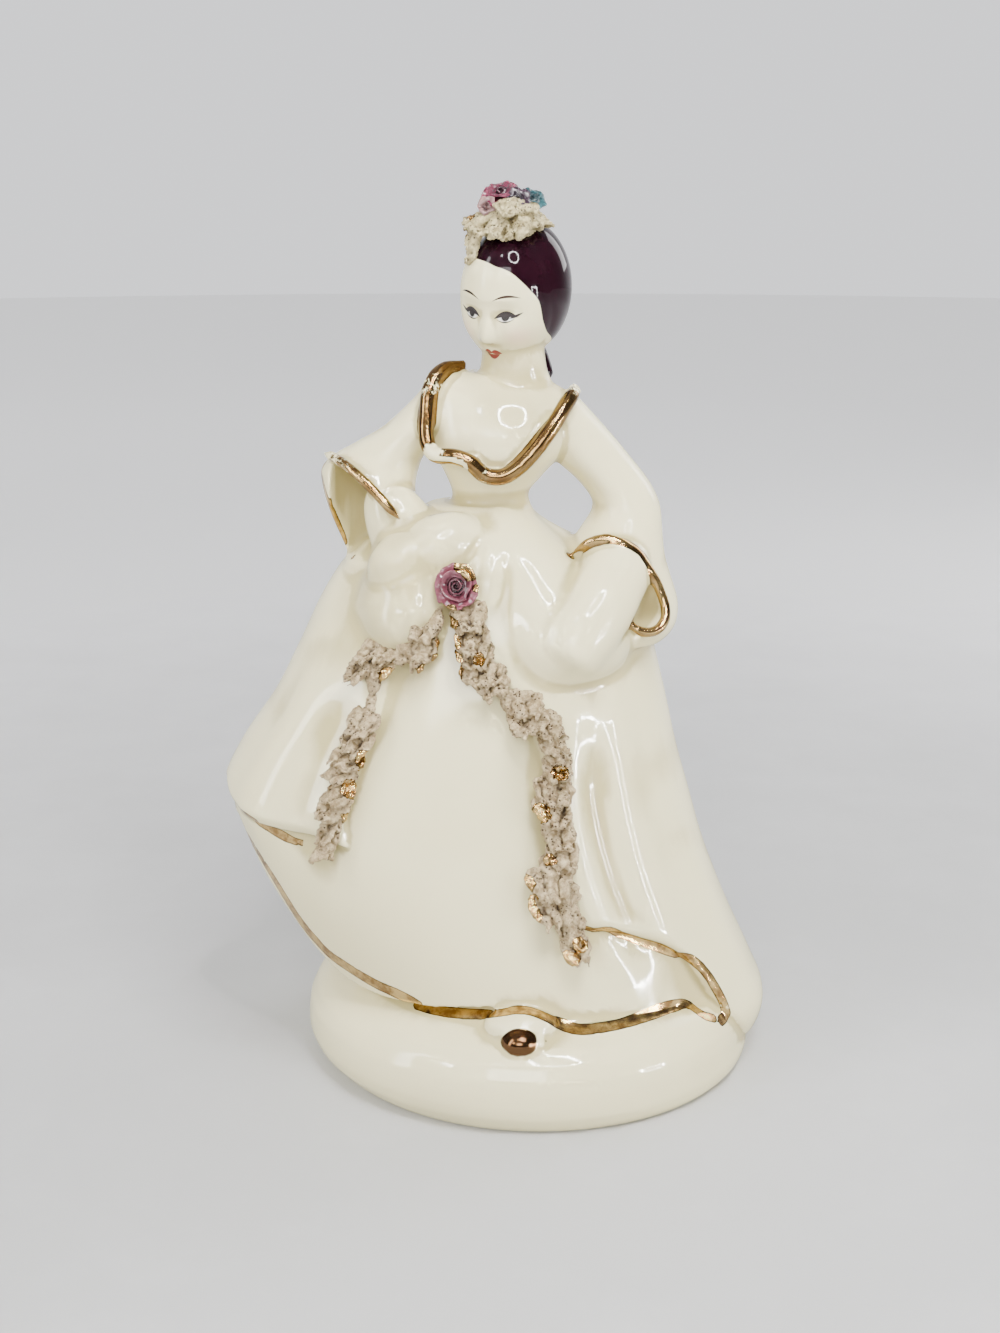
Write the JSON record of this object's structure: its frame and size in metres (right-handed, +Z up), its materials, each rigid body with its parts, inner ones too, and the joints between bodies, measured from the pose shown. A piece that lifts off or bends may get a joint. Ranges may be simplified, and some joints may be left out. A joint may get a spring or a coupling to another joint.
{
  "type": "lady figurine",
  "caption": "Glazed pottery figurine of a standing lady in a wide swept gown with gilt hems, lace garlands, a rose and a lace headdress, made to stand on a shelf as an ornament.",
  "frame": {"origin": "centre of the flat ring the base stands on", "axes": "+Z up, lady faces -Y, her head is turned towards -X"},
  "size_m": [0.1459, 0.1212, 0.2311],
  "materials": {
    "glazed_pottery": "glossy ivory glaze with worn gold lines, painted hair",
    "rose_glaze": "glazed dusky pink with a darker heart",
    "lace_slip": "slip-dipped lace, dull pinkish cream with gold touches",
    "headdress_lace": "slip-dipped lace, dull yellowish cream",
    "flower_pink": "glazed mauve pink",
    "flower_teal": "glazed teal",
    "flower_mauve": "glazed dark grey mauve",
    "bud_pink": "glazed pale pink"
  },
  "bodies": {
    "root": {"figure": "glazed_pottery", "waist_rose": "rose_glaze", "lace_garland_left": "lace_slip", "lace_garland_right": "lace_slip", "lace_headdress": "headdress_lace", "hair_flower_pink": "flower_pink", "hair_flower_teal": "flower_teal", "hair_flower_mauve": "flower_mauve", "hair_bud": "bud_pink"}
  },
  "joints": []
}
